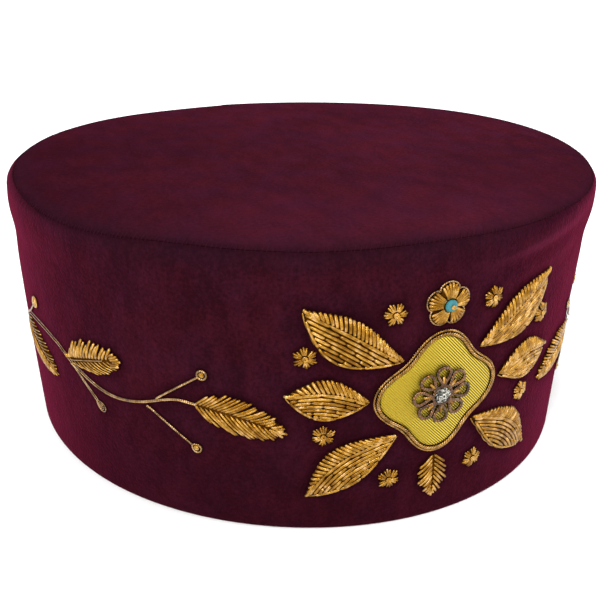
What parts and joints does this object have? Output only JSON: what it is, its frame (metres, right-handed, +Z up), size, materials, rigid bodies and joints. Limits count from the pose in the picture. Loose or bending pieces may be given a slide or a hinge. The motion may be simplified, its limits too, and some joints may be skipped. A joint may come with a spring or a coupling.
{
  "type": "embroidered velvet drum cap",
  "caption": "Round velvet drum cap with a flat top, an upright side band and gold bullion embroidery: a floral crest at the front and a leafy spray on each side.",
  "frame": {"origin": "on the cap's axis, in the plane of the hem that it stands on", "axes": "+Z up out of the flat top, -Y out of the front with the crest, +X to the right as seen from the front"},
  "size_m": [0.1978, 0.2, 0.0875],
  "materials": {
    "velvet": "burgundy velvet with a soft pile",
    "gold_bullion": "coiled gold wire, slightly tarnished",
    "gold_cloth": "ribbed metallic yellow cloth",
    "dark_purl": "dark copper-brown coiled wire",
    "teal_silk": "teal silk satin stitch"
  },
  "bodies": {
    "root": {"side_band": "velvet", "top_panel": "velvet", "medallion_cloth": "gold_cloth", "medallion_rosette": "dark_purl", "crest_flower_eye": "teal_silk", "medallion_cord": "gold_bullion", "crest_pendant": "gold_bullion", "crest_flower": "gold_bullion", "crest_leaf_left_upper": "gold_bullion", "crest_leaf_left_middle": "gold_bullion", "crest_leaf_left_lower": "gold_bullion", "crest_leaf_right_upper": "gold_bullion", "crest_leaf_right_middle": "gold_bullion", "crest_leaf_right_lower": "gold_bullion", "crest_blossom_1": "gold_bullion", "crest_blossom_2": "gold_bullion", "crest_blossom_3": "gold_bullion", "crest_blossom_4": "gold_bullion", "crest_blossom_5": "gold_bullion", "crest_blossom_6": "gold_bullion", "crest_blossom_7": "gold_bullion", "crest_blossom_8": "gold_bullion", "spray_left_stem": "gold_bullion", "spray_right_stem": "gold_bullion", "spray_left_leaf_1": "gold_bullion", "spray_left_leaf_2": "gold_bullion", "spray_left_leaf_3": "gold_bullion", "spray_right_leaf_1": "gold_bullion", "spray_right_leaf_2": "gold_bullion", "spray_right_leaf_3": "gold_bullion", "spray_left_berry_1": "gold_bullion", "spray_left_berry_2": "gold_bullion", "spray_left_berry_3": "gold_bullion", "spray_left_berry_4": "gold_bullion", "spray_right_berry_1": "gold_bullion", "spray_right_berry_2": "gold_bullion", "spray_right_berry_3": "gold_bullion", "spray_right_berry_4": "gold_bullion"}
  },
  "joints": []
}
